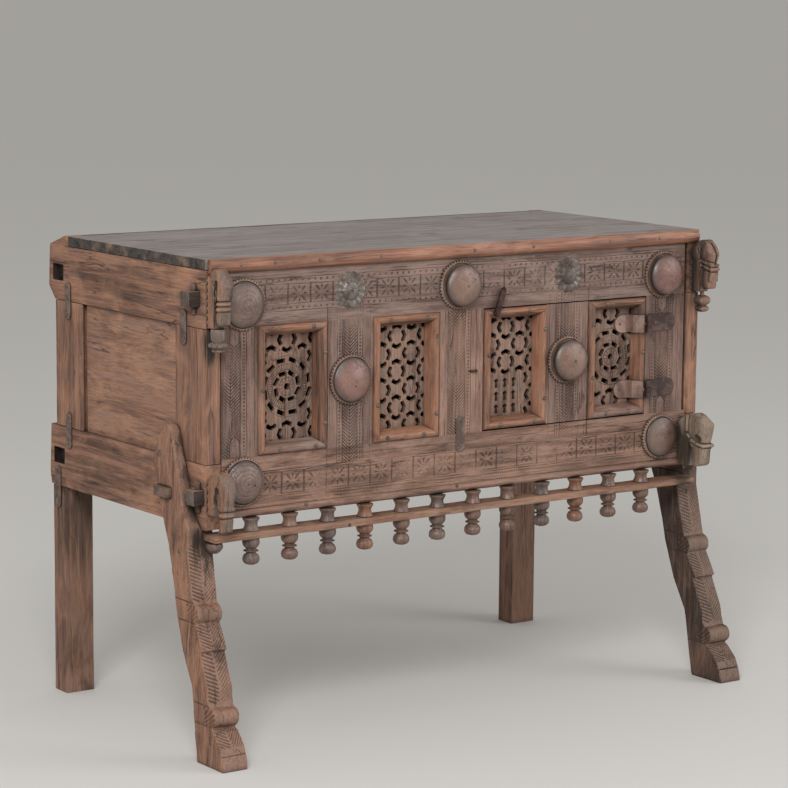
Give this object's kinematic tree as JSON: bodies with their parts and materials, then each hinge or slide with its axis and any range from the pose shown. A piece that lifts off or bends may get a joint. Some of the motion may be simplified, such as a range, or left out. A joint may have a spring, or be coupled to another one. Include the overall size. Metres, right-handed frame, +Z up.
{
  "type": "dowry cabinet",
  "caption": "Carved wooden dowry chest on splayed legs, with pierced panels, turned bosses, horse-head brackets and a small hinged door that gives access to the inside.",
  "frame": {"origin": "on the floor under the middle of the whole object", "axes": "+X to the right as seen from the front, +Y towards the back, +Z up; the door faces -Y"},
  "size_m": [1.12, 0.651, 0.826],
  "materials": {
    "frame_wood": "weathered, dark",
    "board_wood": "worn, greyed",
    "carved_wood": "carved, greyed",
    "moulding_wood": "worn, reddish",
    "ornament_wood": "turned and carved, worn",
    "iron": "forged, rusted",
    "rosette_metal": "embossed sheet, tarnished"
  },
  "bodies": {
    "cabinet": {"back_boards": "board_wood", "back_rails": "frame_wood", "boss_bottom_left": "ornament_wood", "boss_bottom_right": "ornament_wood", "boss_collars": "ornament_wood", "boss_top_left": "ornament_wood", "boss_top_middle": "ornament_wood", "boss_top_right": "ornament_wood", "boss_window": "ornament_wood", "bracket_lower_left": "ornament_wood", "bracket_lower_right": "ornament_wood", "bracket_pendants": "ornament_wood", "bracket_upper_left": "ornament_wood", "bracket_upper_right": "ornament_wood", "door_staple": "iron", "floor_boards": "board_wood", "front_bottom_rail": "carved_wood", "front_leg_left": "frame_wood", "front_leg_right": "frame_wood", "front_stile_left": "carved_wood", "front_stile_middle": "carved_wood", "front_stile_right": "carved_wood", "front_top_rail": "carved_wood", "gallery_slat": "ornament_wood", "gallery_spindles": "ornament_wood", "hinge_pins": "iron", "hinge_stile_straps": "iron", "iron_straps": "iron", "jali_window_inner": "carved_wood", "jali_window_outer": "carved_wood", "leg_keys": "frame_wood", "moulding_window_inner": "moulding_wood", "moulding_window_outer": "moulding_wood", "rear_leg_left": "frame_wood", "rear_leg_right": "frame_wood", "rosettes": "rosette_metal", "side_bottom_rail_left": "frame_wood", "side_bottom_rail_right": "frame_wood", "side_front_stile_left": "frame_wood", "side_front_stile_right": "frame_wood", "side_panel_left": "frame_wood", "side_panel_right": "frame_wood", "side_rear_stile_left": "frame_wood", "side_rear_stile_right": "frame_wood", "side_top_rail_left": "frame_wood", "side_top_rail_right": "frame_wood", "top_boards": "board_wood", "top_nosing": "moulding_wood", "tusk_keys": "frame_wood", "window_board": "carved_wood"},
    "door": {"door_board": "carved_wood", "jali_door_inner": "carved_wood", "jali_door_outer": "carved_wood", "moulding_door_inner": "moulding_wood", "moulding_door_outer": "moulding_wood", "boss_door": "ornament_wood", "boss_collar_door": "ornament_wood", "hinge_door_straps": "iron", "latch_pin": "iron"},
    "latch": {"latch_bar": "iron"}
  },
  "joints": [
    {"name": "door_hinge", "type": "hinge", "parent": "cabinet", "child": "door", "pos_m": [0.412, -0.221, 0.6], "axis": [0, 0, 1], "range_deg": [0, 105]},
    {"name": "latch_pivot", "type": "hinge", "parent": "door", "child": "latch", "pos_m": [0.067, -0.2188, 0.701], "axis": [0, 1, 0], "range_deg": [-15, 70]}
  ]
}
